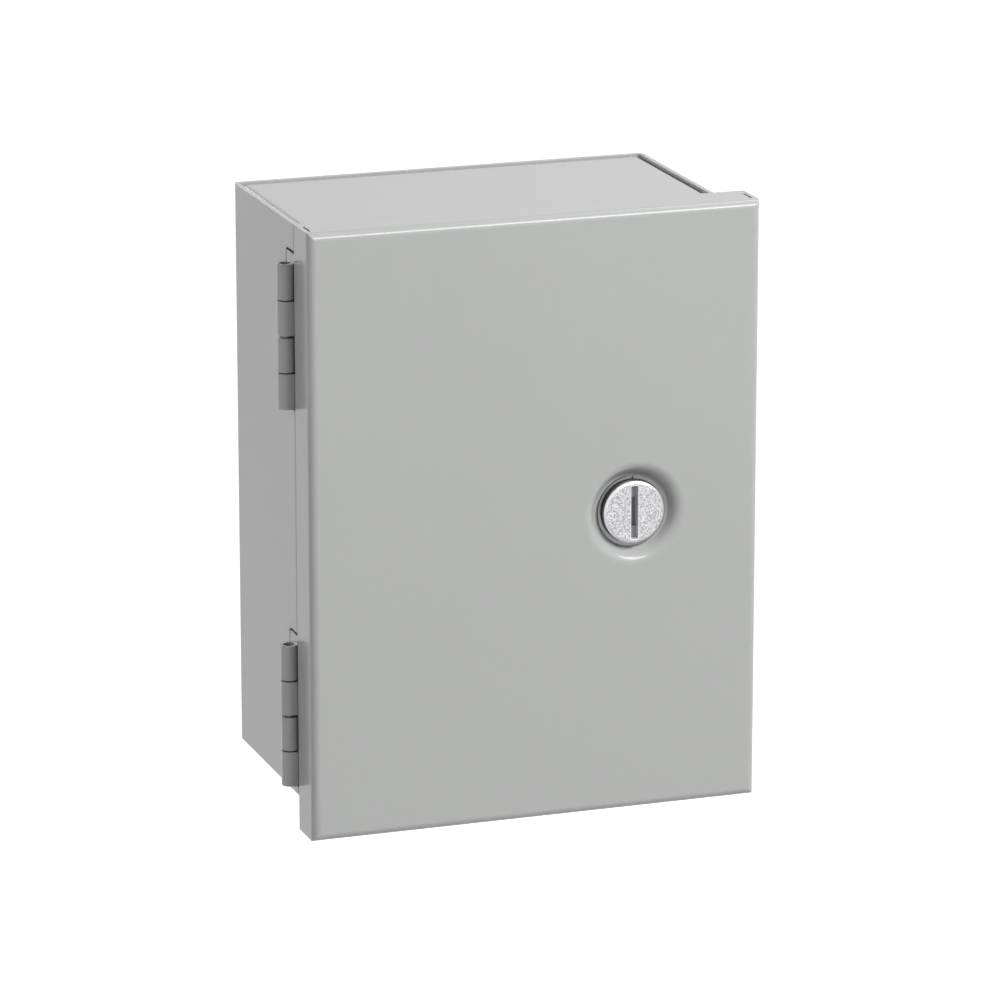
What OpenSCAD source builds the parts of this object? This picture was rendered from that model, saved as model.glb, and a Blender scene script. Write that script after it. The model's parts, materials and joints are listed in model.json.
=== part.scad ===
// Small wall-mounted sheet-steel enclosure with a hinged door, a slotted quarter-turn latch and a
// subpanel. Millimetres, +Z up. The origin is the centre of the back face, which lies on the wall;
// the door faces -Y and swings on two hinges at the left.

/* [Body] */
// Width of the body
body_w = 152.4; // [135:0.1:300]
// Height of the body
body_h = 203.2; // [195:0.1:400]
// Depth from the wall to the face of the door
depth = 88.9; // [75:0.1:200]
// Thickness of the body sheet
sheet = 1.5; // [1.2:0.1:1.8]
// Inside radius of the bends at the back corners and round the caps
corner_in = 1; // [0.8:0.1:1.5]
// Inside radius of the tight folds round the front opening
fold_in = 0.3; // [0.2:0.05:0.5]
// Gap where one body sheet is set inside another
weld_fit = 0.3; // [0.1:0.05:0.4]
// How far the caps are set in from the ends of the walls
cap_drop = 0.5; // [0.2:0.1:0.8]
// Height of the tabs that the caps are welded on by
tab_h = 7.5; // [5:0.1:8]

/* [Front opening] */
// Gap between the rim round the opening and the inside of the door
rim_gap = 3; // [2.5:0.1:4]
// Clearance between the hinge leaf on the door and the rim beside it
leaf_to_rim = 2.1; // [1.2:0.1:3]
// Width of the lip at the left and at the top
lip_w = 8; // [4:0.1:9]
// Width of the lip at the right, which the latch cam holds
keeper_w = 14.5; // [11:0.1:15]
// Width of the lip at the bottom
sill_w = 12; // [5:0.1:14]

/* [Door] */
// Depth of the door's flanges
flange_d = 16.5; // [14:0.1:20]
// Thickness of the door sheet
door_sheet = 1.5; // [1.2:0.1:1.8]
// Inside radius of the folds round the door
door_fold_in = 1.3; // [0.8:0.1:2]
// How far the door reaches past the body at the right
pull_right = 10.8; // [8:0.1:15]
// How far the door reaches past the body at the bottom
pull_bottom = 11.9; // [8:0.1:16]
// How far the door stands proud of the body at the left and at the top
proud = 0.3; // [0.2:0.05:0.5]
// Gap between the back edge of the door's flanges and the body
seam = 0.4; // [0.3:0.05:0.8]
// Length of the open slot in each corner of the door
corner_slot_l = 8; // [4:0.1:9]
// Width of that slot
corner_slot_w = 0.9; // [0.6:0.05:1.2]

/* [Latch dimple] */
// From the middle of the latch to the right edge of the door
latch_from_edge = 45.7; // [44:0.1:60]
// Depth of the dimple that the latch sits in
dimple_d = 4.2; // [3:0.1:4.8]
// Flat floor of the dimple beyond the ring of the housing
dimple_land = 0.2; // [0.1:0.05:0.8]
// Slope of the dimple's wall, in degrees from the face of the door
dimple_slope = 52; // [40:1:56]
// Inside radius of the bend round the dimple's floor
dimple_bend_in = 1.2; // [0.8:0.1:1.5]
// Inside radius of the soft bend round the dimple's rim, at the back of the sheet
dimple_rim_in = 3; // [1:0.1:3.4]
// Radius of the hole for the latch housing
latch_hole_r = 9.5; // [8:0.1:10]

/* [Latch] */
// Radius of the slotted head
head_r = 11.1; // [10.5:0.05:11.5]
// How far the head lies behind the face of the door
head_setback = 0.5; // [0.2:0.05:0.8]
// Size of the chamfer round the head
head_chamfer = 0.85; // [0.3:0.05:1.2]
// Length of the coin slot
coin_slot_l = 19; // [14:0.1:20]
// Width of the coin slot
coin_slot_w = 2.6; // [1.8:0.1:3.2]
// Depth of the coin slot at its ends
coin_slot_d = 1.9; // [0.8:0.05:2.2]
// Length of the deeper middle of the coin slot
coin_well_l = 10.5; // [6:0.1:12]
// Depth of that middle
coin_well_d = 2.6; // [1.5:0.05:2.8]
// Width of the ring of the housing round the head
ring_w = 1.2; // [0.9:0.05:1.4]
// Thickness of that ring
ring_t = 0.8; // [0.7:0.05:1.3]
// Depth of the recess in the ring that the head sits in
ring_recess = 0.5; // [0.3:0.05:0.6]
// Width of the index notch at the top of the ring
index_w = 0.8; // [0.5:0.05:1.2]
// Clearance between the head and the housing
head_clear = 0.3; // [0.25:0.05:0.4]
// Clearance between the housing and the hole in the door
housing_clear = 0.2; // [0.1:0.05:0.4]
// Radius of the spindle
spindle_r = 5; // [4:0.1:6]
// Radial clearance of the spindle in the housing
spindle_fit = 0.05; // [0.02:0.01:0.08]
// Across the flats of the square that drives the cam
square_w = 6.6; // [5.8:0.1:6.8]
// Across the flats of the nut that holds the housing
latch_nut_af = 22; // [21:0.1:23]
// Thickness of that nut
latch_nut_t = 3; // [2.5:0.1:3.5]
// How far the housing's thread reaches past that nut
housing_past = 0.2; // [0.1:0.05:0.5]
// Thickness of the toothed washer under that nut
latch_washer_t = 0.8; // [0.6:0.05:1]
// Radius of the toothed washer
latch_washer_r = 12.2; // [11.6:0.1:12.6]
// Width and depth of the gaps between its teeth
tooth_gap = 1.2; // [0.8:0.1:1.6]
// Gap between the housing and the spring washer behind it
turn_gap = 0.1; // [0.05:0.05:0.2]
// Thickness of the spring washer in front of the cam
spring_washer_t = 0.6; // [0.4:0.05:0.8]

/* [Latch cam] */
// Thickness of the cam
cam_t = 2; // [1.6:0.1:2.5]
// Radius of the cam's hub
cam_hub_r = 8; // [7:0.1:9]
// Width of the cam's arm
cam_w = 12; // [9:0.1:13]
// How far the cam reaches past the edge of the lip that it holds
cam_bite = 7; // [5:0.1:8]
// Gap between the cam and that lip
cam_gap = 0.5; // [0.3:0.05:0.8]
// Clearance between the cam and the nut that it steps round
cam_nut_clear = 1.2; // [0.8:0.1:1.6]
// Length of the slope where the arm steps forward
cam_slope = 4; // [3:0.1:5]
// Radius of the screw that holds the cam
cam_screw_r = 2; // [1.5:0.1:2.4]
// Radius of the screw's head
cam_screw_head_r = 4.3; // [3.5:0.1:4.8]
// Height of the screw's head
cam_screw_head_h = 2.4; // [1.8:0.1:2.6]
// Length of the screw's thread in the spindle
cam_screw_l = 5; // [4:0.1:6]
// Thickness of the washer under the screw
cam_washer_t = 0.8; // [0.6:0.05:1]
// Radius of that washer
cam_washer_r = 5.3; // [5:0.1:6]
// How far the spindle's square ends short of that washer
square_short = 0.1; // [0.05:0.05:0.2]

/* [Hinges] */
// Length of a hinge
hinge_l = 50.8; // [44:0.1:60]
// From the top of the body to the upper hinge
hinge_drop = 13.7; // [13:0.1:25]
// From the bottom of the body to the lower hinge
hinge_rise = 3.6; // [3:0.1:12]
// Thickness of the hinge leaves
leaf_t = 1.1; // [1:0.05:1.4]
// Radius of the hinge pins
pin_r = 1.9; // [1.2:0.05:2]
// Radial clearance of the pins in the knuckles
pin_fit = 0.05; // [0.02:0.01:0.08]
// How far the pins end inside the knuckles
pin_recess = 2.5; // [0.5:0.1:3]
// From the left face of the body out to the hinge axis
axis_out = 2.3; // [2:0.05:2.6]
// Gap between the door's flange and the knuckles
knuckle_seam = 0.5; // [0.4:0.05:0.8]
// Gap between neighbouring knuckles
knuckle_gap = 0.5; // [0.3:0.05:0.7]
// Gap between the two middle knuckles
middle_gap = 0.9; // [0.3:0.05:1.1]
// Width of the leaves where they lie on the sheets
leaf_w = 11; // [8:0.1:12]
// Straight part of a door leaf between its fold and the notches beside its fingers
finger_root = 0.2; // [0.1:0.05:0.4]
// How far the body leaves reach above their knuckles
leaf_over = 3.2; // [0.8:0.1:4]
// How far the body leaves lie behind the outer face of the wall in their windows
leaf_set = 0.1; // [0.05:0.05:0.3]
// Depth of the windows in the body that the body leaves lie in
window_d = 9.8; // [8:0.1:11]
// Gap between a body leaf and the back edge of its window
window_fit = 0.2; // [0.1:0.05:0.4]
// Gap at the front and the bottom of the windows
window_gap = 0.8; // [0.6:0.05:1]
// Gap above the leaves in the windows
window_over = 1.1; // [1:0.1:2]
// Radius of the upper back corner of the windows
window_r = 1.7; // [1:0.1:1.8]

/* [Wall mounting] */
// Spacing of the mounting holes across
mount_x = 76.2; // [50:0.1:90]
// Spacing of the mounting holes up and down
mount_z = 152.4; // [100:0.1:155]
// Radius of the mounting holes
mount_r = 3.6; // [2.5:0.05:4.5]

/* [Subpanel] */
// Space between the edge of the subpanel and the side walls
panel_side = 14.3; // [13.4:0.1:20]
// Space between the edge of the subpanel and the caps
panel_end = 15.85; // [13:0.05:25]
// Thickness of the subpanel
panel_t = 1.9; // [1.5:0.1:2.6]
// Radius of the subpanel's corners
panel_r = 3; // [1:0.1:6]
// From the edges of the subpanel to the middle of its holes
panel_hole_in = 6.35; // [6:0.05:12]
// Radius of the subpanel's holes
panel_hole_r = 2.8; // [2.6:0.05:3.2]
// Distance from the back wall to the subpanel
standoff = 9.5; // [6:0.1:15]
// Radius of the collars that hold the subpanel off the back wall
collar_r = 4.5; // [3.8:0.1:5.5]
// Radius of the studs
stud_r = 2.4; // [2:0.05:2.5]
// How far the studs reach past their nuts
stud_past = 3; // [1:0.1:6]
// Across the flats of the small nuts
nut_af = 9.5; // [8:0.1:11]
// Thickness of the small nuts
nut_t = 3.2; // [2.5:0.1:4]
// Thickness of the small lock washers
washer_t = 1; // [0.7:0.05:1.3]
// Radius of the small lock washers
washer_r = 4.4; // [3.8:0.1:5]
// Width of the split in the small lock washers
washer_split = 1; // [0.5:0.1:1.5]
// Gap between the small nuts and washers and their studs
thread_gap = 0.05; // [0.02:0.01:0.1]

/* [Ground stud] */
// From the back face to the ground stud
ground_y = 30; // [25:0.1:45]
// From the bottom of the body to the ground stud
ground_z = 30; // [20:0.1:60]
// Room on the ground stud for wire terminals
ground_room = 3; // [2:0.1:5]

/* [Hidden] */
$fn = 64;

// Overlap that lets a cut pass cleanly through a face
eps = 1;
knuckles = 4;
washer_teeth = 10;

paint = [0.72, 0.73, 0.72];
zinc = [0.80, 0.80, 0.82];
steel = [0.62, 0.63, 0.65];
panel_white = [0.88, 0.88, 0.86];
brass = [0.78, 0.66, 0.36];

// Body: side_x and top_z are its outer faces, inner_x, inner_back_y and cap_z the set-in caps' faces
side_x = body_w / 2;
top_z = body_h / 2;
cap_z = top_z - cap_drop;
inner_x = side_x - sheet - weld_fit;
inner_back_y = -sheet - weld_fit;
corner_out = corner_in + sheet;
fold_out = fold_in + sheet;

// Door: its face, the back edge of its flanges, and its four outer faces
face_y = -depth;
flange_y = face_y + flange_d;
door_left = -side_x - proud;
door_right = side_x + pull_right;
door_top = top_z + proud;
door_bottom = -top_z - pull_bottom;
door_fold_out = door_fold_in + door_sheet;
door_mid_z = (door_top + door_bottom) / 2;

// Front opening: the plane where the body steps in, the step, and the front of the lips
step_y = flange_y + seam;
rim_inset = door_sheet + leaf_t + leaf_to_rim - proud;
rim_y = face_y + door_sheet + rim_gap;
left_lip_x = -side_x + rim_inset + lip_w;
keeper_x = side_x - keeper_w;

// Hinges: axis, knuckles and the window that the leaves pass through
knuckle_in = pin_r + pin_fit;
knuckle_out = knuckle_in + leaf_t;
axis_x = -side_x - axis_out;
axis_y = flange_y + knuckle_seam + knuckle_out;
knuckle_pitch = hinge_l / knuckles;
upper_hinge_z = top_z - hinge_drop - hinge_l;
lower_hinge_z = -top_z + hinge_rise;
leaf_fold_out = leaf_t + knuckle_seam;
window_y = step_y + window_d;
window_x = door_left + door_sheet + leaf_t + window_gap;
tab_front_y = step_y + sheet + 2 * weld_fit;

// Latch: places along -Y from the dimple's floor back to the cam screw
latch_x = door_right - latch_from_edge;
latch_z = door_mid_z;
floor_y = face_y + dimple_d;
floor_back_y = floor_y + door_sheet;
ring_y = floor_y - ring_t;
ring_out_r = head_r + head_clear + ring_w;
dimple_flat_r = ring_out_r + dimple_land;
dimple_edge_r = dimple_flat_r + dimple_d / tan(dimple_slope)
                + (dimple_bend_in + dimple_rim_in + door_sheet) * tan(dimple_slope / 2);
head_y = face_y + head_setback;
head_back_y = ring_y + ring_recess - head_clear;
head_t = head_back_y - head_y;
housing_r = latch_hole_r - housing_clear;
tooth_washer_y = floor_back_y;
latch_nut_y = tooth_washer_y + latch_washer_t;
housing_end_y = latch_nut_y + latch_nut_t + housing_past;
spring_washer_y = housing_end_y + turn_gap;
cam_y = spring_washer_y + spring_washer_t;
cam_tip_y = rim_y + sheet + cam_gap;
cam_reach = keeper_x + cam_bite - latch_x;
cam_step_r = latch_nut_af / 2 / cos(30) + cam_nut_clear;
spindle_end_y = cam_y + cam_t - square_short;
cam_washer_y = cam_y + cam_t;
cam_screw_y = cam_washer_y + cam_washer_t;

// Subpanel and its studs
panel_half_x = side_x - panel_side;
panel_half_z = top_z - panel_end;
panel_y = -sheet - standoff;
stud_x = panel_half_x - panel_hole_in;
stud_z = panel_half_z - panel_hole_in;
panel_front_y = panel_y - panel_t;
stud_l = standoff + panel_t + washer_t + nut_t + stud_past;
ground_l = ground_room + washer_t + nut_t + stud_past;

// ---- Shared shapes -----------------------------------------------------------------------------

// Quarter of a bent sheet of thickness t about [x, y], from angle a to a + 90
module bend(x, y, r, t, a) {
  translate([x, y])
    rotate(a)
      intersection() {
        difference() {
          circle(r);
          circle(r - t);
        }
        square(r);
      }
}

// Box between two corners
module box(low, high) {
  translate(low)
    cube(high - low);
}

// Flat rectangle between two corners
module rect(low, high) {
  translate(low)
    square(high - low);
}

// A cylinder along Y from y0 back to y1
module rod(r, y0, y1) {
  translate([0, y0, 0])
    rotate([-90, 0, 0])
      cylinder(r = r, h = y1 - y0);
}

// A ring along Y
module tube(r_out, r_in, y0, y1) {
  difference() {
    rod(r_out, y0, y1);
    rod(r_in, y0 - eps, y1 + eps);
  }
}

// A hexagon along Y
module hex(af, y0, y1) {
  translate([0, y0, 0])
    rotate([-90, 0, 0])
      cylinder(r = af / 2 / cos(30), h = y1 - y0, $fn = 6);
}

// Flat rectangle whose two corners of larger Y are rounded
module round_top(low, high, r) {
  rect(low, [high.x, high.y - r]);
  rect([low.x + r, low.y], [high.x - r, high.y]);
  translate([low.x + r, high.y - r])
    circle(r);
  translate([high.x - r, high.y - r])
    circle(r);
}

// Extrudes a profile drawn in X and Y from z0 up to z1
module along_z(z0, z1) {
  translate([0, 0, z0])
    linear_extrude(z1 - z0)
      children();
}

// Extrudes a profile drawn in Z and Y (its first axis is Z) from x0 to x1
module along_x(x0, x1) {
  translate([x1, 0, 0])
    rotate([0, -90, 0])
      linear_extrude(x1 - x0)
        children();
}

// Extrudes a profile drawn in X and Z from y0 back to y1
module along_y(y0, y1) {
  translate([0, y1, 0])
    rotate([90, 0, 0])
      linear_extrude(y1 - y0)
        children();
}

// ---- Body sheets -------------------------------------------------------------------------------

// Edge profiles: the first axis runs inward from the outer face, the second is Y

// The first fold of the stepped edge, with the start of the wall behind it
module step_fold() {
  bend(fold_out, step_y + fold_out, fold_out, sheet, 180);
  rect([0, step_y + fold_out], [sheet, step_y + 2 * fold_out]);
}

// Lip profile that ends a rim whose outer face is at u
module lip(u, w) {
  bend(u + fold_out, rim_y + fold_out, fold_out, sheet, 180);
  rect([u + fold_out, rim_y], [u + w, rim_y + sheet]);
}

// Edge that steps inward, runs on as a rim inside the door and ends in a lip
module stepped_edge(w) {
  step_fold();
  rect([fold_out, step_y], [rim_inset + sheet - fold_out, step_y + sheet]);
  bend(rim_inset + sheet - fold_out, step_y + sheet - fold_out, fold_out, sheet, 0);
  rect([rim_inset, rim_y + fold_out], [rim_inset + sheet, step_y + sheet - fold_out]);
  lip(rim_inset, w);
}

// Edge that runs straight on inside the door and ends in a lip
module straight_edge(w) {
  rect([0, rim_y + fold_out], [sheet, step_y + fold_out]);
  lip(0, w);
}

// Plan of the three walls, with their front ends flush with the step
module wrap_plan() {
  difference() {
    round_top([-side_x, step_y], [side_x, 0], corner_out);
    round_top([-side_x + sheet, step_y - eps], [side_x - sheet, -sheet], corner_in);
    rect([-side_x - eps, step_y - eps], [-side_x + sheet + eps, step_y + fold_out]);
  }
}

// Opening in the left wall that a hinge's leaves pass through
module hinge_window(z0) {
  low_z = z0 - window_gap;
  high_z = z0 + hinge_l + leaf_over + window_over;
  along_x(-side_x - eps, window_x) {
    rect([low_z, step_y - eps], [high_z, window_y - window_r]);
    rect([low_z, step_y - eps], [high_z - window_r, window_y]);
    translate([high_z - window_r, window_y - window_r])
      circle(window_r);
  }
}

module mount_holes() {
  for (x = [-1, 1], z = [-1, 1])
    translate([x * mount_x / 2, 0, z * mount_z / 2])
      rod(mount_r, -sheet - eps, eps);
}

module body_wrapper() {
  low_z = -cap_z + sheet + weld_fit;
  high_z = cap_z - rim_inset - sheet - weld_fit;
  color(paint)
    difference() {
      union() {
        along_z(-top_z, top_z)
          wrap_plan();
        along_z(-top_z, top_z)
          translate([-side_x, 0])
            intersection() {
              step_fold();
              rect([0, step_y], [sheet, step_y + 2 * fold_out]);
            }
        along_z(low_z, high_z)
          translate([-side_x, 0])
            stepped_edge(lip_w);
        along_z(-top_z, cap_z - rim_inset)
          translate([side_x, 0])
            mirror([1, 0])
              intersection() {
                straight_edge(keeper_w);
                rect([0, rim_y], [sheet, step_y + fold_out]);
              }
        along_z(low_z, high_z)
          translate([side_x, 0])
            mirror([1, 0])
              straight_edge(keeper_w);
      }
      hinge_window(upper_hinge_z);
      hinge_window(lower_hinge_z);
      mount_holes();
    }
}

// Solid of the outer form of a cap at the top, made smaller all round by inset
module cap_form(inset) {
  x = inner_x - inset;
  y = inner_back_y - inset;
  z = cap_z - inset;
  r = corner_out - inset;
  low_z = cap_z - tab_h - (inset > 0 ? eps : 0);
  front_y = step_y - (inset > 0 ? eps : 0);
  intersection() {
    along_z(low_z, z)
      round_top([-x, front_y], [x, y], r);
    along_y(front_y, y)
      round_top([-x, low_z], [x, z], r);
    along_x(-x, x)
      difference() {
        rect([low_z, front_y], [z, y]);
        difference() {
          rect([z - r, y - r], [z + eps, y + eps]);
          translate([z - r, y - r])
            circle(r);
        }
      }
  }
}

// Plate with a tab along each side and along the back, ready for its front edge
module cap_pan() {
  difference() {
    cap_form(0);
    cap_form(sheet);
    box([-body_w, step_y - eps, cap_z - tab_h - eps], [body_w, tab_front_y, cap_z - sheet]);
  }
}

module top_cap() {
  color(paint)
    difference() {
      union() {
        intersection() {
          cap_pan();
          box([-body_w, step_y + fold_out, -body_h], [body_w, eps, body_h]);
        }
        translate([0, 0, cap_z])
          mirror([0, 0, 1])
            along_x(-inner_x, inner_x)
              stepped_edge(lip_w);
      }
      box([-body_w, rim_y - eps, 0], [-side_x + rim_inset, step_y, body_h]);
      lip_ends(cap_z - rim_inset - sheet);
    }
}

// Cuts the lip of a cap back to the lips of the side walls, on the inner side of the plane z
module lip_ends(z) {
  box([-body_w, rim_y - eps, 0], [left_lip_x + weld_fit, rim_y + fold_out, z]);
  box([keeper_x - weld_fit, rim_y - eps, 0], [body_w, rim_y + fold_out, z]);
}

module bottom_cap() {
  leaf_back_y = axis_y + knuckle_out + leaf_w + window_gap;
  color(paint)
    mirror([0, 0, 1])
      difference() {
        union() {
          cap_pan();
          translate([0, 0, cap_z])
            mirror([0, 0, 1])
              along_x(-inner_x, inner_x)
                straight_edge(sill_w);
        }
        box([-body_w, rim_y - eps, 0], [-side_x + rim_inset, step_y, body_h]);
        box([-body_w, step_y - eps, 0], [0, leaf_back_y, cap_z - corner_out]);
        lip_ends(cap_z - sheet);
      }
}

// ---- Subpanel ----------------------------------------------------------------------------------

// Places its children at the four studs
module at_studs() {
  for (x = [-1, 1], z = [-1, 1])
    translate([x * stud_x, 0, z * stud_z])
      children();
}

// Lock washer from y0 back to y1, split at one side
module split_washer(y0, y1) {
  difference() {
    tube(washer_r, stud_r + thread_gap, y0, y1);
    box([0, y0 - eps, -washer_split / 2], [washer_r + eps, y1 + eps, washer_split / 2]);
  }
}

// Hexagon nut with chamfered corners, from y0 back to y1
module nut(af, bore_r, y0, y1) {
  start_r = (af / 2 + af / 2 / cos(30)) / 2;
  difference() {
    intersection() {
      hex(af, y0, y1);
      translate([0, y0, 0])
        rotate([-90, 0, 0])
          cylinder(r1 = start_r, r2 = start_r + y1 - y0, h = y1 - y0);
    }
    rod(bore_r, y0 - eps, y1 + eps);
  }
}

module subpanel() {
  color(panel_white)
    difference() {
      along_y(panel_front_y, panel_y)
        union() {
          rect([-panel_half_x + panel_r, -panel_half_z], [panel_half_x - panel_r, panel_half_z]);
          rect([-panel_half_x, -panel_half_z + panel_r], [panel_half_x, panel_half_z - panel_r]);
          for (x = [-1, 1], z = [-1, 1])
            translate([x * (panel_half_x - panel_r), z * (panel_half_z - panel_r)])
              circle(panel_r);
        }
      at_studs()
        rod(panel_hole_r, panel_front_y - eps, panel_y + eps);
    }
}

module panel_studs() {
  color(steel)
    at_studs() {
      rod(collar_r, panel_y, -sheet);
      rod(stud_r, -sheet - stud_l, -sheet);
    }
}

module panel_lock_washers() {
  color(zinc)
    at_studs()
      split_washer(panel_front_y - washer_t, panel_front_y);
}

module panel_nuts() {
  color(zinc)
    at_studs()
      nut(nut_af, stud_r + thread_gap, panel_front_y - washer_t - nut_t, panel_front_y - washer_t);
}

// ---- Ground stud -------------------------------------------------------------------------------

// Turns a fastener drawn along -Y from y = 0 so that it stands on the inside of the left wall
module on_left_wall() {
  translate([-side_x + sheet, -ground_y, -top_z + ground_z])
    rotate([0, 0, 90])
      children();
}

module ground_stud() {
  color(steel)
    on_left_wall()
      rod(stud_r, -ground_l, 0);
}

module ground_lock_washer() {
  color(zinc)
    on_left_wall()
      split_washer(-ground_room - washer_t, -ground_room);
}

module ground_nut() {
  color(brass)
    on_left_wall()
      nut(nut_af, stud_r + thread_gap, -ground_room - washer_t - nut_t, -ground_room - washer_t);
}

// ---- Hinges ------------------------------------------------------------------------------------

// Half of the gap under a knuckle that starts at level i
function half_gap(i) = (i == knuckles / 2 ? middle_gap : i == 0 || i == knuckles ? 0 : knuckle_gap) / 2;

// Knuckles first, first + 2 ... each joined to the plan of its finger
module knuckle_row(z0, first) {
  for (i = [first : 2 : knuckles - 1])
    along_z(z0 + i * knuckle_pitch + half_gap(i), z0 + (i + 1) * knuckle_pitch - half_gap(i + 1))
      difference() {
        union() {
          translate([axis_x, axis_y])
            circle(knuckle_out);
          children();
        }
        translate([axis_x, axis_y])
          circle(knuckle_in);
      }
}

// Leaf that lies flush in its window and steps inward behind it, to the inside of the left wall
module body_leaf(z0) {
  out_x = -side_x + leaf_set;
  in_x = -side_x + sheet;
  fold_x = out_x + leaf_t - leaf_fold_out;
  fold_y = axis_y + knuckle_in + leaf_fold_out;
  joggle_y = window_y - window_fit;
  top = z0 + hinge_l + leaf_over;
  color(paint) {
    knuckle_row(z0, 1) {
      rect([axis_x, fold_y - leaf_fold_out], [fold_x, fold_y - leaf_fold_out + leaf_t]);
      bend(fold_x, fold_y, leaf_fold_out, leaf_t, 270);
      rect([out_x, fold_y], [out_x + leaf_t, joggle_y]);
    }
    along_z(z0, top) {
      rect([out_x, fold_y], [out_x + leaf_t, joggle_y]);
      rect([out_x, joggle_y - leaf_t], [in_x + leaf_t, joggle_y]);
      rect([in_x, joggle_y - leaf_t], [in_x + leaf_t, fold_y + leaf_w]);
    }
    along_z(z0 + hinge_l, top)
      rect([out_x, step_y + window_gap], [out_x + leaf_t, joggle_y]);
  }
}

// Leaf on the inside of the door's left flange
module door_leaf(z0) {
  face_x = door_left + door_sheet;
  fold_x = face_x + leaf_t - leaf_fold_out;
  fold_y = axis_y - knuckle_in - leaf_fold_out;
  web_y = axis_y - knuckle_in - leaf_t;
  color(paint) {
    knuckle_row(z0, 0)
      rect([axis_x, web_y], [fold_x, web_y + leaf_t]);
    along_z(z0, z0 + hinge_l) {
      rect([fold_x - finger_root, web_y], [fold_x, web_y + leaf_t]);
      bend(fold_x, fold_y, leaf_fold_out, leaf_t, 0);
      rect([face_x, fold_y - leaf_w], [face_x + leaf_t, fold_y]);
    }
  }
}

module hinge_pin(z0) {
  color(steel)
    translate([axis_x, axis_y, z0 + pin_recess])
      cylinder(r = pin_r, h = hinge_l - 2 * pin_recess);
}

module upper_body_leaf() {
  body_leaf(upper_hinge_z);
}

module lower_body_leaf() {
  body_leaf(lower_hinge_z);
}

module upper_door_leaf() {
  door_leaf(upper_hinge_z);
}

module lower_door_leaf() {
  door_leaf(lower_hinge_z);
}

module upper_hinge_pin() {
  hinge_pin(upper_hinge_z);
}

module lower_hinge_pin() {
  hinge_pin(lower_hinge_z);
}

// ---- Door --------------------------------------------------------------------------------------

// Solid of the outer form of the door, made smaller all round by inset
module door_form(inset) {
  back_y = flange_y + (inset > 0 ? eps : 0);
  front_y = face_y + inset;
  r = door_fold_out - inset;
  intersection() {
    along_z(door_bottom + inset, door_top - inset)
      mirror([0, 1])
        round_top([door_left + inset, -back_y], [door_right - inset, -front_y], r);
    along_x(door_left + inset, door_right - inset)
      mirror([0, 1])
        round_top([door_bottom + inset, -back_y], [door_top - inset, -front_y], r);
  }
}

// Points on an arc about [x, y], for a profile that is turned about the second axis
function arc(x, y, r, a0, a1, steps = 8) =
  [for (i = [0 : steps]) let (a = a0 + (a1 - a0) * i / steps) [x + r * cos(a), y + r * sin(a)]];

// Half section of the dimple: out along the radius and up towards the front. Its wall leaves the
// floor and meets the face in arcs of radius r_low and r_high.
module dimple_section(r_low, r_high, front) {
  polygon(concat(
    [[0, 0]],
    arc(dimple_flat_r, r_low, r_low, -90, -90 + dimple_slope),
    arc(dimple_edge_r, dimple_d - r_high, r_high, 90 + dimple_slope, 90),
    [[dimple_edge_r, dimple_d + front], [0, dimple_d + front]]));
}

// Turns a half section into a solid round the latch axis, with its base at y and its front at -Y
module round_latch(y) {
  translate([latch_x, y, latch_z])
    rotate([90, 0, 0])
      rotate_extrude()
        children();
}

// Short open slots where the flanges meet at the corners
module corner_slots() {
  mid_y = face_y + flange_d / 2;
  for (x = [door_left, door_right], z = [door_bottom, door_top]) {
    from_x = x == door_left ? x + door_sheet : x - door_sheet - corner_slot_w;
    from_z = z == door_top ? z - door_sheet - eps : z - eps;
    box([from_x, mid_y - corner_slot_l / 2, from_z],
        [from_x + corner_slot_w, mid_y + corner_slot_l / 2, from_z + door_sheet + 2 * eps]);
  }
}

module door() {
  color(paint)
    difference() {
      union() {
        difference() {
          door_form(0);
          door_form(door_sheet);
        }
        round_latch(floor_back_y)
          dimple_section(dimple_bend_in + door_sheet, dimple_rim_in, door_sheet / 2);
      }
      round_latch(floor_y)
        dimple_section(dimple_bend_in, dimple_rim_in + door_sheet, eps);
      translate([latch_x, 0, latch_z])
        rod(latch_hole_r, face_y - eps, floor_back_y + eps);
      corner_slots();
    }
}

// ---- Latch -------------------------------------------------------------------------------------

// Moves its children from the Y axis to the latch's axis
module at_latch() {
  translate([latch_x, 0, latch_z])
    children();
}

module latch_housing() {
  color(zinc)
    at_latch()
      difference() {
        union() {
          rod(ring_out_r, ring_y, floor_y);
          rod(housing_r, ring_y, housing_end_y);
        }
        rod(head_r + head_clear, ring_y - eps, ring_y + ring_recess);
        rod(spindle_r + spindle_fit, ring_y - eps, housing_end_y + eps);
        box([-index_w / 2, ring_y - eps, head_r], [index_w / 2, ring_y + ring_recess, ring_out_r + eps]);
      }
}

module latch_tooth_washer() {
  color(steel)
    at_latch()
      difference() {
        tube(latch_washer_r, housing_r + housing_clear, tooth_washer_y, latch_nut_y);
        for (i = [0 : washer_teeth - 1])
          rotate([0, i * 360 / washer_teeth, 0])
            box([latch_washer_r - tooth_gap, tooth_washer_y - eps, -tooth_gap / 2],
                [latch_washer_r + eps, latch_nut_y + eps, tooth_gap / 2]);
      }
}

module latch_housing_nut() {
  color(zinc)
    at_latch()
      mirror([0, 1, 0])
        nut(latch_nut_af, housing_r + thread_gap, -latch_nut_y - latch_nut_t, -latch_nut_y);
}

// Square prism along Y
module square_rod(w, y0, y1) {
  box([-w / 2, y0, -w / 2], [w / 2, y1, w / 2]);
}

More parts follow.
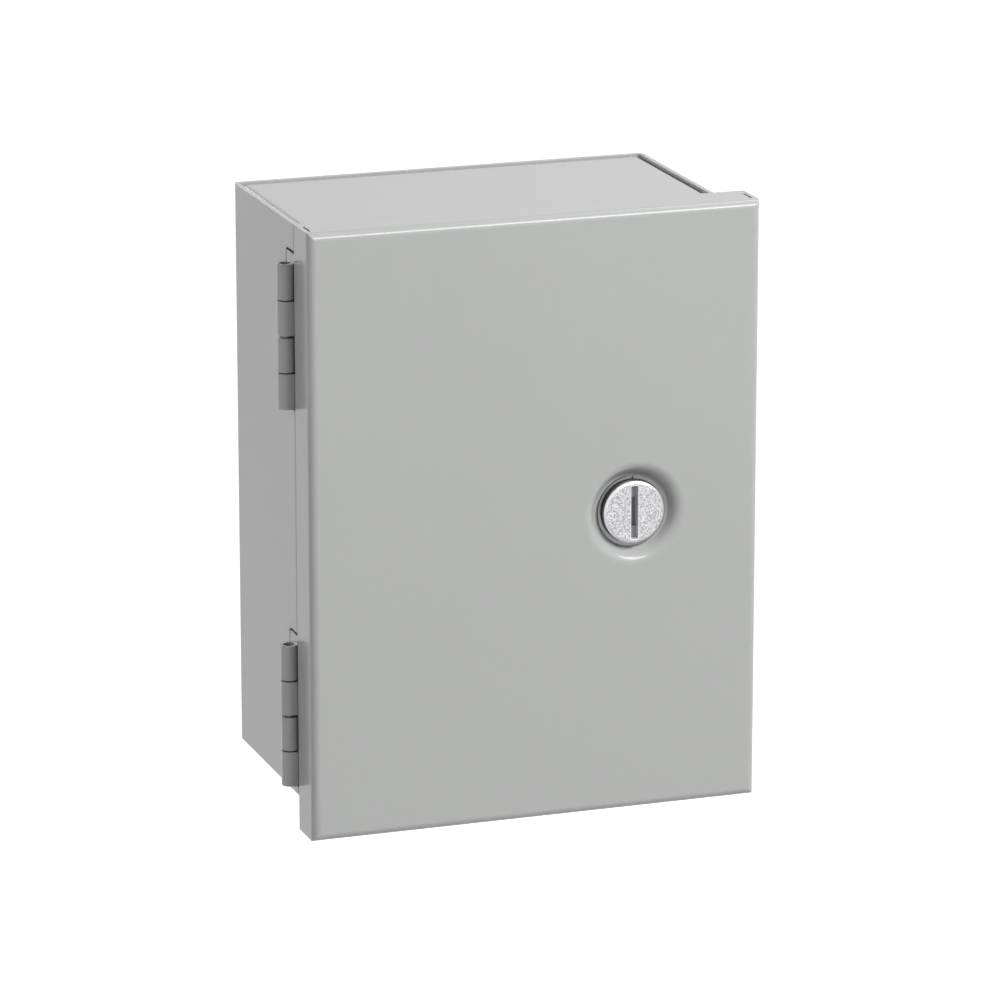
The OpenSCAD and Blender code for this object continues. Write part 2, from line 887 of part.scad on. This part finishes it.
module latch_spindle() {
  color(zinc)
    at_latch()
      difference() {
        union() {
          intersection() {
            rod(head_r, head_y, head_back_y);
            translate([0, head_y, 0])
              rotate([-90, 0, 0])
                cylinder(r1 = head_r - head_chamfer, r2 = head_r - head_chamfer + head_t, h = head_t);
          }
          rod(spindle_r, head_y + head_chamfer, housing_end_y);
          intersection() {
            square_rod(square_w, head_back_y, spindle_end_y);
            rod(spindle_r, head_back_y, spindle_end_y);
          }
        }
        box([-coin_slot_w / 2, head_y - eps, -coin_slot_l / 2],
            [coin_slot_w / 2, head_y + coin_slot_d, coin_slot_l / 2]);
        box([-coin_slot_w / 2, head_y - eps, -coin_well_l / 2],
            [coin_slot_w / 2, head_y + coin_well_d, coin_well_l / 2]);
        rod(cam_screw_r + thread_gap, spindle_end_y - cam_screw_l - eps, spindle_end_y + eps);
      }
}

module latch_spring_washer() {
  color(steel)
    at_latch()
      tube(cam_hub_r, spindle_r + housing_clear, spring_washer_y, cam_y);
}

// Arm that hangs down at rest: flat at the hub, stepped forward past the nut, flat behind the lip
module latch_cam() {
  round_r = cam_w / 2;
  section = [
    [0, cam_y],
    [-cam_step_r, cam_y],
    [-cam_step_r - cam_slope, cam_tip_y],
    [-cam_reach, cam_tip_y],
    [-cam_reach, cam_tip_y + cam_t],
    [-cam_step_r - cam_slope, cam_tip_y + cam_t],
    [-cam_step_r, cam_y + cam_t],
    [0, cam_y + cam_t]
  ];
  color(steel)
    at_latch()
      difference() {
        union() {
          intersection() {
            along_x(-cam_w / 2, cam_w / 2)
              polygon(section);
            along_y(cam_tip_y - eps, cam_y + cam_t + eps)
              union() {
                rect([-cam_w / 2, -cam_reach + round_r], [cam_w / 2, eps]);
                translate([0, -cam_reach + round_r])
                  circle(round_r);
              }
          }
          rod(cam_hub_r, cam_y, cam_y + cam_t);
        }
        square_rod(square_w + 2 * thread_gap, cam_y - eps, cam_y + cam_t + eps);
      }
}

module cam_washer() {
  color(zinc)
    at_latch()
      tube(cam_washer_r, cam_screw_r + thread_gap, cam_washer_y, cam_screw_y);
}

module cam_screw() {
  slot_w = cam_screw_r / 2;
  color(zinc)
    at_latch()
      difference() {
        union() {
          rod(cam_screw_head_r, cam_screw_y, cam_screw_y + cam_screw_head_h);
          rod(cam_screw_r, spindle_end_y - cam_screw_l, cam_screw_y + cam_screw_head_h / 2);
        }
        box([-cam_screw_head_r - eps, cam_screw_y + cam_screw_head_h / 2, -slot_w / 2],
            [cam_screw_head_r + eps, cam_screw_y + cam_screw_head_h + eps, slot_w / 2]);
      }
}

// ---- Parts -------------------------------------------------------------------------------------

body_wrapper();
top_cap();
bottom_cap();
subpanel();
panel_studs();
panel_lock_washers();
panel_nuts();
ground_stud();
ground_lock_washer();
ground_nut();
upper_body_leaf();
lower_body_leaf();
upper_hinge_pin();
lower_hinge_pin();
door();
upper_door_leaf();
lower_door_leaf();
latch_housing();
latch_tooth_washer();
latch_housing_nut();
latch_spindle();
latch_spring_washer();
latch_cam();
cam_washer();
cam_screw();
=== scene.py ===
import bpy
import json
import math
from mathutils import Euler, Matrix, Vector


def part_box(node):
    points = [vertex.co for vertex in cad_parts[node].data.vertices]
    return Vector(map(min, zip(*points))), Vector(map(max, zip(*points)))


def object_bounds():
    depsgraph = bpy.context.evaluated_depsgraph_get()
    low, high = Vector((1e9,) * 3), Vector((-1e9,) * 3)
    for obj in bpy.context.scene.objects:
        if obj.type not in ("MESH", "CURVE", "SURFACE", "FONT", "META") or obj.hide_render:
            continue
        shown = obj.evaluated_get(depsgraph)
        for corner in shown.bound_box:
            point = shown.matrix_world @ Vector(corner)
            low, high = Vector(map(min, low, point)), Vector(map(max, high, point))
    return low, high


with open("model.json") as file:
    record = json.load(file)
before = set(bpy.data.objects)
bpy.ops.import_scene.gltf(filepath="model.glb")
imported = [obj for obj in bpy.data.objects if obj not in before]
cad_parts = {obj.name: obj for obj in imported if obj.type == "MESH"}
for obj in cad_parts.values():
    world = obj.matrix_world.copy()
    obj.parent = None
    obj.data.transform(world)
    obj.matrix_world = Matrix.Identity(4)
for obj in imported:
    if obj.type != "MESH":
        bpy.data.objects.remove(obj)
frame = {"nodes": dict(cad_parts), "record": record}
record = frame["record"]
nodes = frame["nodes"]
scene = bpy.context.scene
MM = 0.001

low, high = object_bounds()


# ---- Materials ----------------------------------------------------------------------------------

class Shader:
    """Builds a node material a few lines at a time."""

    def __init__(self, name):
        self.material = bpy.data.materials.new(name)
        self.material.use_nodes = True
        self.tree = self.material.node_tree
        self.surface = self.tree.nodes["Principled BSDF"]
        self.coord = self.tree.nodes.new("ShaderNodeTexCoord").outputs["Object"]

    def node(self, kind, **values):
        made = self.tree.nodes.new("ShaderNode" + kind)
        for name, value in values.items():
            setattr(made, name, value)
        return made

    def put(self, socket, value):
        if isinstance(value, bpy.types.NodeSocket):
            self.tree.links.new(value, socket)
        else:
            socket.default_value = value

    def noise(self, scale, detail=2.0, rough=0.5, coord=None):
        n = self.node("TexNoise")
        self.put(n.inputs["Vector"], coord or self.coord)
        n.inputs["Scale"].default_value = scale
        n.inputs["Detail"].default_value = detail
        n.inputs["Roughness"].default_value = rough
        return n.outputs["Fac"]

    def math(self, operation, a, b=0.0, c=0.0):
        n = self.node("Math", operation=operation)
        for socket, value in zip(n.inputs, (a, b, c)):
            self.put(socket, value)
        return n.outputs[0]

    def ramp(self, value, low_in, high_in, low_out=0.0, high_out=1.0, smooth=False):
        n = self.node("MapRange", interpolation_type="SMOOTHSTEP" if smooth else "LINEAR")
        for name, v in (("Value", value), ("From Min", low_in), ("From Max", high_in),
                        ("To Min", low_out), ("To Max", high_out)):
            self.put(n.inputs[name], v)
        return n.outputs["Result"]

    def mix(self, factor, a, b):
        n = self.node("Mix", data_type="RGBA")
        self.put(n.inputs["Factor"], factor)
        self.put(n.inputs[6], a)
        self.put(n.inputs[7], b)
        return n.outputs[2]

    def axes(self):
        """The three coordinates at rest, in metres"""
        n = self.node("SeparateXYZ")
        self.put(n.inputs[0], self.coord)
        return n.outputs

    def bump(self, height, distance, strength=1.0, normal=None):
        n = self.node("Bump")
        n.inputs["Strength"].default_value = strength
        n.inputs["Distance"].default_value = distance
        self.put(n.inputs["Height"], height)
        if normal is not None:
            self.put(n.inputs["Normal"], normal)
        return n.outputs["Normal"]

    def edges(self, radius):
        """(rounded normal, mask that is 1 on sharp edges)"""
        bevel = self.node("Bevel", samples=6)
        bevel.inputs["Radius"].default_value = radius
        plain = self.node("NewGeometry").outputs["Normal"]
        dot = self.node("VectorMath", operation="DOT_PRODUCT")
        self.put(dot.inputs[0], bevel.outputs["Normal"])
        self.put(dot.inputs[1], plain)
        return bevel.outputs["Normal"], self.ramp(dot.outputs["Value"], 0.98, 0.75)

    def painted_gap_shade(self, reach):
        """Mask for painted shade, from ambient occlusion: 1 deep in a gap or a bore, 0 on open surfaces"""
        n = self.node("AmbientOcclusion", samples=6)
        n.inputs["Distance"].default_value = reach
        return self.ramp(n.outputs["AO"], 0.6, 0.1)

    def set(self, **values):
        names = {"color": "Base Color", "rough": "Roughness", "metal": "Metallic", "normal": "Normal",
                 "specular": "Specular IOR Level"}
        for name, value in values.items():
            self.put(self.surface.inputs[names[name]], value)
        return self.material


def rgba(color, k=1.0):
    """The colour k times as bright, with alpha"""
    return [min(c * k, 1.0) for c in color] + [1.0]


def powder_coat(name, color, rough=0.21):
    """Sprayed paint with a slight orange peel, a painted highlight on edges and painted shade in gaps"""
    s = Shader(name)
    rounded, painted_highlight_edge = s.edges(0.35 * MM)
    blotch = s.ramp(s.noise(14, 2), 0.3, 0.7)
    speck = s.ramp(s.noise(2600, 1), 0.35, 0.65)
    tint = s.mix(blotch, rgba(color, 0.992), rgba(color, 1.008))
    tint = s.mix(s.math("MULTIPLY", speck, 0.05), tint, rgba(color, 0.8))
    # Painted highlight: the colour is lighter along sharp edges
    tint = s.mix(s.math("MULTIPLY", painted_highlight_edge, 0.25), tint, rgba(color, 1.35))
    # Painted shade: the colour darkens in gaps and bores
    tint = s.mix(s.painted_gap_shade(1.3 * MM), tint, rgba(color, 0.2))
    peel = s.bump(s.noise(750, 2, 0.6), 0.04 * MM, 0.35, rounded)
    sag = s.bump(s.noise(28, 1), 0.5 * MM, 0.12, peel)
    gloss = s.ramp(s.noise(60, 2), 0.3, 0.7, rough - 0.01, rough + 0.01)
    return s.set(color=tint, rough=gloss, normal=sag, specular=0.27)


def blasted_zinc(name, color):
    """Sandblasted casting with a lathe-cut chamfer; painted highlights on the chamfer and the slot's lips,
    and painted shade on the head's side and in the coin slot
    """
    s = Shader(name)
    rounded = s.edges(0.2 * MM)[0]
    across, depth, along = s.axes()
    x = s.math("SUBTRACT", across, LATCH_AXIS.x)
    z = s.math("SUBTRACT", along, LATCH_AXIS.z)
    radius = s.math("SQRT", s.math("ADD", s.math("MULTIPLY", x, x), s.math("MULTIPLY", z, z)))
    behind = s.math("SUBTRACT", depth, HEAD_Y)
    beside = s.math("ABSOLUTE", x)
    above = s.math("ABSOLUTE", z)
    in_slot = s.math("MULTIPLY", s.math("LESS_THAN", beside, SLOT_W / 2 - 0.05 * MM),
                     s.math("LESS_THAN", above, SLOT_L / 2 - 0.05 * MM))
    chamfer = s.ramp(radius, HEAD_R - CHAMFER - 0.05 * MM, HEAD_R - CHAMFER + 0.1 * MM)
    lip = s.math("MULTIPLY", s.ramp(beside, SLOT_W / 2 + 0.35 * MM, SLOT_W / 2 + 0.1 * MM),
                 s.math("LESS_THAN", above, SLOT_L / 2 + 0.3 * MM))
    turned_and_highlight = s.math("MAXIMUM", chamfer, lip)

    grain = s.math("ADD", s.noise(1500, 2, 0.6), s.noise(3600, 1))
    pits = s.ramp(s.noise(2100, 2, 0.7), 0.39, 0.57)
    tint = s.mix(pits, rgba(color, 0.5), rgba(color, 1.17))
    # Painted highlight: the colour is lighter on the chamfer and the slot's lips, which are also less
    # rough
    tint = s.mix(s.math("MULTIPLY", turned_and_highlight, 0.7), tint, rgba(color, 1.5))
    # Painted shade: the coin slot's colour darkens with depth
    painted_slot_shade = s.mix(s.ramp(behind, 1.95 * MM, 2.3 * MM), rgba(color, 0.36), rgba(color, 0.16))
    tint = s.mix(s.math("MULTIPLY", in_slot, s.ramp(behind, 0.3 * MM, 0.8 * MM)), tint, painted_slot_shade)
    # Painted shade: the head's side wall behind the chamfer is darkened
    painted_side_shade = s.math("MULTIPLY", s.ramp(behind, CHAMFER + 0.05 * MM, CHAMFER + 0.35 * MM),
                  s.math("SUBTRACT", 1.0, in_slot))
    painted_side_shade = s.math("MULTIPLY", painted_side_shade, s.math("GREATER_THAN", radius, HEAD_R - 0.2 * MM))
    tint = s.mix(painted_side_shade, tint, rgba(color, 0.3))
    dull = s.math("MAXIMUM", in_slot, painted_side_shade)
    normal = s.bump(grain, 0.16 * MM, 0.8, rounded)
    return s.set(color=tint, metal=s.math("MULTIPLY_ADD", dull, -0.2, 0.5),
                 rough=s.math("MULTIPLY_ADD", turned_and_highlight, -0.15, 0.5), normal=normal)


def plated_steel(name, color, rough=0.28, thread=None):
    """Plated metal with fine scratches, a painted highlight on edges and painted shade in gaps; thread is
    the axis that a screw thread runs along, 0 or 1
    """
    s = Shader(name)
    rounded, painted_highlight_edge = s.edges(0.12 * MM)
    stretch = s.node("Mapping")
    s.put(stretch.inputs["Vector"], s.coord)
    stretch.inputs["Scale"].default_value = (1.0, 1.0, 0.08)
    cloud = s.ramp(s.noise(160, 3), 0.3, 0.7)
    tint = s.mix(cloud, rgba(color, 0.9), rgba(color, 1.06))
    # Painted highlight: the colour is lighter along sharp edges
    tint = s.mix(s.math("MULTIPLY", painted_highlight_edge, 0.5), tint, rgba(color, 1.2))
    # Painted shade: the colour darkens in gaps and bores
    tint = s.mix(s.painted_gap_shade(2.5 * MM), tint, rgba(color, 0.25))
    scratch = s.noise(2400, 2, 0.5, stretch.outputs["Vector"])
    normal = s.bump(scratch, 0.02 * MM, 0.3, rounded)
    if thread is not None:
        turn = s.math("SINE", s.math("MULTIPLY", s.axes()[thread], 2 * math.pi / PITCH))
        normal = s.bump(s.math("MULTIPLY_ADD", turn, 0.5, 0.5), 0.25 * MM, 0.9, normal)
    gloss = s.ramp(s.noise(300, 2), 0.3, 0.7, rough - 0.05, rough + 0.08)
    return s.set(color=tint, metal=1.0, rough=gloss, normal=normal)


joints = {joint["name"]: joint for joint in record["behaviour"]["joints"]}
LATCH_AXIS = Vector(joints["latch_turn"]["pos_m"])
# The slotted head: its front, radius and chamfer, and the length and width of the slot
HEAD_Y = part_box("latch_spindle")[0].y
HEAD_R = (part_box("latch_spindle")[1].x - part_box("latch_spindle")[0].x) / 2
CHAMFER = 0.85 * MM
SLOT_L = 19 * MM
SLOT_W = 2.6 * MM
# The pitch of the studs' threads
PITCH = 0.8 * MM
slot_colors = {m["slot"]: m["base_color"] for m in record["materials"]}
MATERIALS = {
    "enclosure_paint": powder_coat("enclosure_paint", slot_colors["enclosure_paint"]),
    "panel_paint": powder_coat("panel_paint", slot_colors["panel_paint"], 0.25),
    "cast_zinc": blasted_zinc("cast_zinc", slot_colors["cast_zinc"]),
    "satin_zinc": plated_steel("satin_zinc", slot_colors["satin_zinc"], 0.17),
    "zinc_plate": plated_steel("zinc_plate", slot_colors["zinc_plate"]),
    "bright_steel": plated_steel("bright_steel", slot_colors["bright_steel"], 0.3, 1),
    "plain_steel": plated_steel("plain_steel", slot_colors["plain_steel"], 0.35),
    "brass": plated_steel("brass", slot_colors["brass"], 0.25),
}
for part in record["subparts"]:
    obj = nodes[part["node"]]
    obj.data.materials.clear()
    obj.data.materials.append(MATERIALS[part["material_slot"]])
# The ground stud's thread runs across
nodes["ground_stud"].data.materials[0] = plated_steel("ground_thread", slot_colors["bright_steel"], 0.3, 0)


# ---- Studio ------------------------------------------------------------------------------------

middle = (low + high) / 2
floor_z = low.z - 0.45

# The camera: place in metres, pitch and yaw, and focal length in mm
CAMERA_PLACE = (-0.6383, -1.9038, 0.5324)
CAMERA_PITCH = math.radians(-15.397)
CAMERA_YAW = math.radians(-19.142)
CAMERA_LENS = 208.66

# Lamps: name, direction from the object, distance, width, height, watts. The key light stands in
# front, above and a little to the right; the others light the top, the left wall and the edges at
# the back left.
LAMPS = [
    ("key_lamp", (0.4, -0.65, 0.65), 1.9, 1.35, 0.48, 38.5),
    ("top_lamp", (0.3, 0.12, 0.5), 0.6, 0.25, 0.25, 0.61),
    ("left_lamp", (-1.0, -0.2, 0.4), 1.0, 0.8, 0.8, 2.7),
    ("rim_lamp", (-0.26, 0.916, 0.307), 1.0, 0.3, 0.3, 1.5),
]

# Strength of the background, and of the even light from all round
WHITE = 1.0
FILL = 0.03


def seen_as_background(tree):
    """1 for the rays that see the white background: from the camera, or mirrored or let through"""
    ray = tree.nodes.new("ShaderNodeLightPath")
    total = ray.outputs["Is Camera Ray"]
    for name in ("Is Glossy Ray", "Is Transmission Ray"):
        most = tree.nodes.new("ShaderNodeMath")
        most.operation = "MAXIMUM"
        tree.links.new(total, most.inputs[0])
        tree.links.new(ray.outputs[name], most.inputs[1])
        total = most.outputs[0]
    return total


def make_lamps():
    for name, direction, distance, width, height, watts in LAMPS:
        light = bpy.data.lights.new(name, "AREA")
        light.shape = "ELLIPSE"
        light.size = width
        light.size_y = height
        light.energy = watts
        obj = bpy.data.objects.new(name, light)
        scene.collection.objects.link(obj)
        obj.location = middle + Vector(direction).normalized() * distance
        obj.rotation_euler = (middle - obj.location).to_track_quat("-Z", "Y").to_euler()


def make_world():
    world = bpy.data.worlds.new("studio")
    scene.world = world
    world.use_nodes = True
    tree = world.node_tree
    new = tree.nodes.new
    link = tree.links.new
    lit = tree.nodes["Background"]
    lit.inputs["Color"].default_value = (1, 1, 1, 1)
    lit.inputs["Strength"].default_value = FILL
    white = new("ShaderNodeBackground")
    white.inputs["Color"].default_value = (1, 1, 1, 1)
    white.inputs["Strength"].default_value = WHITE
    mix = new("ShaderNodeMixShader")
    link(seen_as_background(tree), mix.inputs["Fac"])
    link(lit.outputs[0], mix.inputs[1])
    link(white.outputs[0], mix.inputs[2])
    link(mix.outputs[0], tree.nodes["World Output"].inputs["Surface"])


def make_floor():
    """A wide white floor that keeps the object's shadow under it and fades into the background"""
    mesh = bpy.data.meshes.new("floor")
    r = 30
    mesh.from_pydata([(-r, -r, floor_z), (r, -r, floor_z), (r, r, floor_z), (-r, r, floor_z)], [],
                     [(0, 1, 2, 3)])
    floor = bpy.data.objects.new("floor", mesh)
    scene.collection.objects.link(floor)
    s = Shader("floor_white")
    grain = s.mix(s.noise(4, 2), (0.78, 0.78, 0.78, 1), (0.82, 0.82, 0.82, 1))
    s.set(color=grain, rough=0.9)
    away = s.node("VectorMath", operation="LENGTH")
    flat = s.node("VectorMath", operation="MULTIPLY")
    s.put(flat.inputs[0], s.coord)
    flat.inputs[1].default_value = (1, 1, 0)
    s.put(away.inputs[0], flat.outputs["Vector"])
    level = s.ramp(away.outputs["Value"], 0.3, 0.9, 0.4 * WHITE, WHITE, smooth=True)
    glow = s.node("Emission")
    s.put(glow.inputs["Strength"], s.math("MULTIPLY", seen_as_background(s.tree), level))
    add = s.node("AddShader")
    s.tree.links.new(s.surface.outputs[0], add.inputs[0])
    s.tree.links.new(glow.outputs[0], add.inputs[1])
    s.tree.links.new(add.outputs[0], s.tree.nodes["Material Output"].inputs["Surface"])
    mesh.materials.append(s.material)


def make_camera():
    data = bpy.data.cameras.new("camera")
    data.sensor_width = 36
    data.lens = CAMERA_LENS
    data.clip_start, data.clip_end = 0.05, 100
    cam = bpy.data.objects.new("camera", data)
    scene.collection.objects.link(cam)
    cam.location = CAMERA_PLACE
    cam.rotation_euler = Euler((math.pi / 2 + CAMERA_PITCH, 0, CAMERA_YAW))
    scene.camera = cam


make_lamps()
make_world()
make_floor()
make_camera()
scene.view_settings.view_transform = "Standard"
